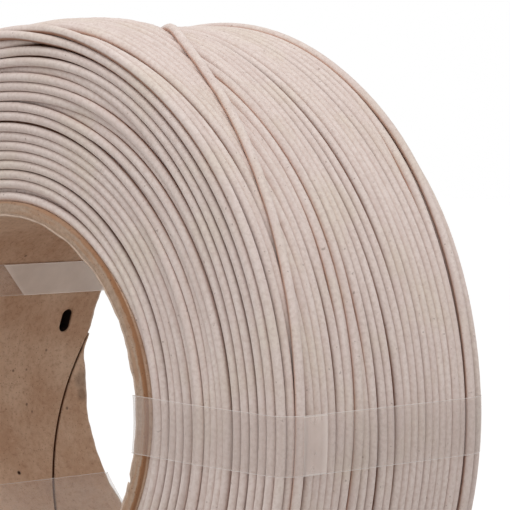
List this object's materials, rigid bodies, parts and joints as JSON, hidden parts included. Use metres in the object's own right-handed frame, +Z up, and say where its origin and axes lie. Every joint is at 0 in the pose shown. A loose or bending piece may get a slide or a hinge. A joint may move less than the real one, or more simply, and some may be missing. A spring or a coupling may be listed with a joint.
{
  "type": "spool-less 3d printer filament coil",
  "caption": "Spool-less coil of 3D printer filament wound on a short paper core tube and held together by straps of clear tape.",
  "frame": {"origin": "centre of the core's bore, at the middle of the core's length", "axes": "+Y along the bore, from the near end to the far end; +Z up with the coil standing on its outer layer; +X to the right seen from the near end"},
  "size_m": [0.1435, 0.0543, 0.1417],
  "materials": {
    "core_board": "matte spiral-wound grey-brown paper board",
    "filament": "matte pale beige-pink strand with fine dark specks",
    "clear_tape": "thin clear film, slightly milky, satin gloss"
  },
  "bodies": {
    "root": {"core_tube": "core_board", "filament_inner_layers": "filament", "filament_outer_layer": "filament", "tape_strap_right": "clear_tape", "tape_strap_upper_left": "clear_tape", "tape_strap_lower_left": "clear_tape"}
  },
  "joints": []
}
